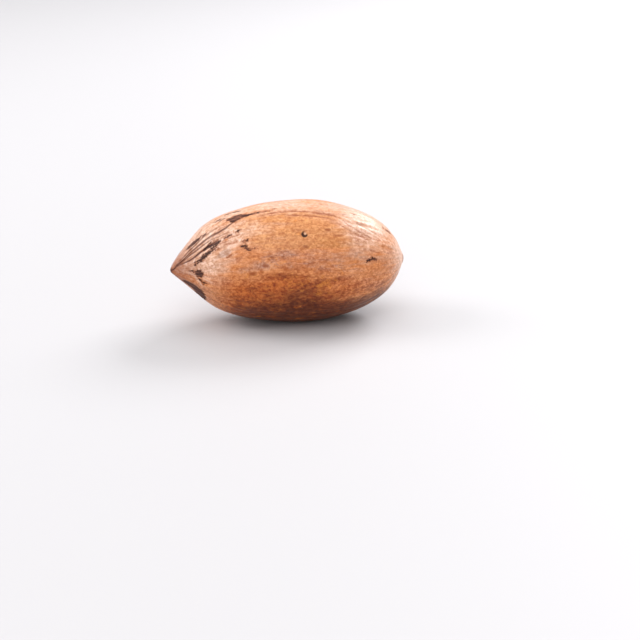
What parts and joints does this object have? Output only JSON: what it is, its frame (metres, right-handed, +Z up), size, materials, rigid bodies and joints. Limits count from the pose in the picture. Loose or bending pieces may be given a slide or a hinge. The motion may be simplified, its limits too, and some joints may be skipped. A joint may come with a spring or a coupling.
{
  "type": "pecan in shell",
  "caption": "Whole pecan nut in its smooth tan shell, lying on its side: an egg-shaped body with a keeled, pointed beak, a fine seam and a small stem scar.",
  "frame": {"origin": "On the resting surface, under the middle of the nut's bounding box.", "axes": "+Z up; the long axis runs along X with the pointed beak at -X and the stem scar at +X; -Y is the front."},
  "size_m": [0.0458, 0.0232, 0.0235],
  "materials": {
    "shell": "smooth dry nutshell with a soft sheen, tan to orange brown with dark streaks at the beak"
  },
  "bodies": {
    "root": {"pecan_shell": "shell"}
  },
  "joints": []
}
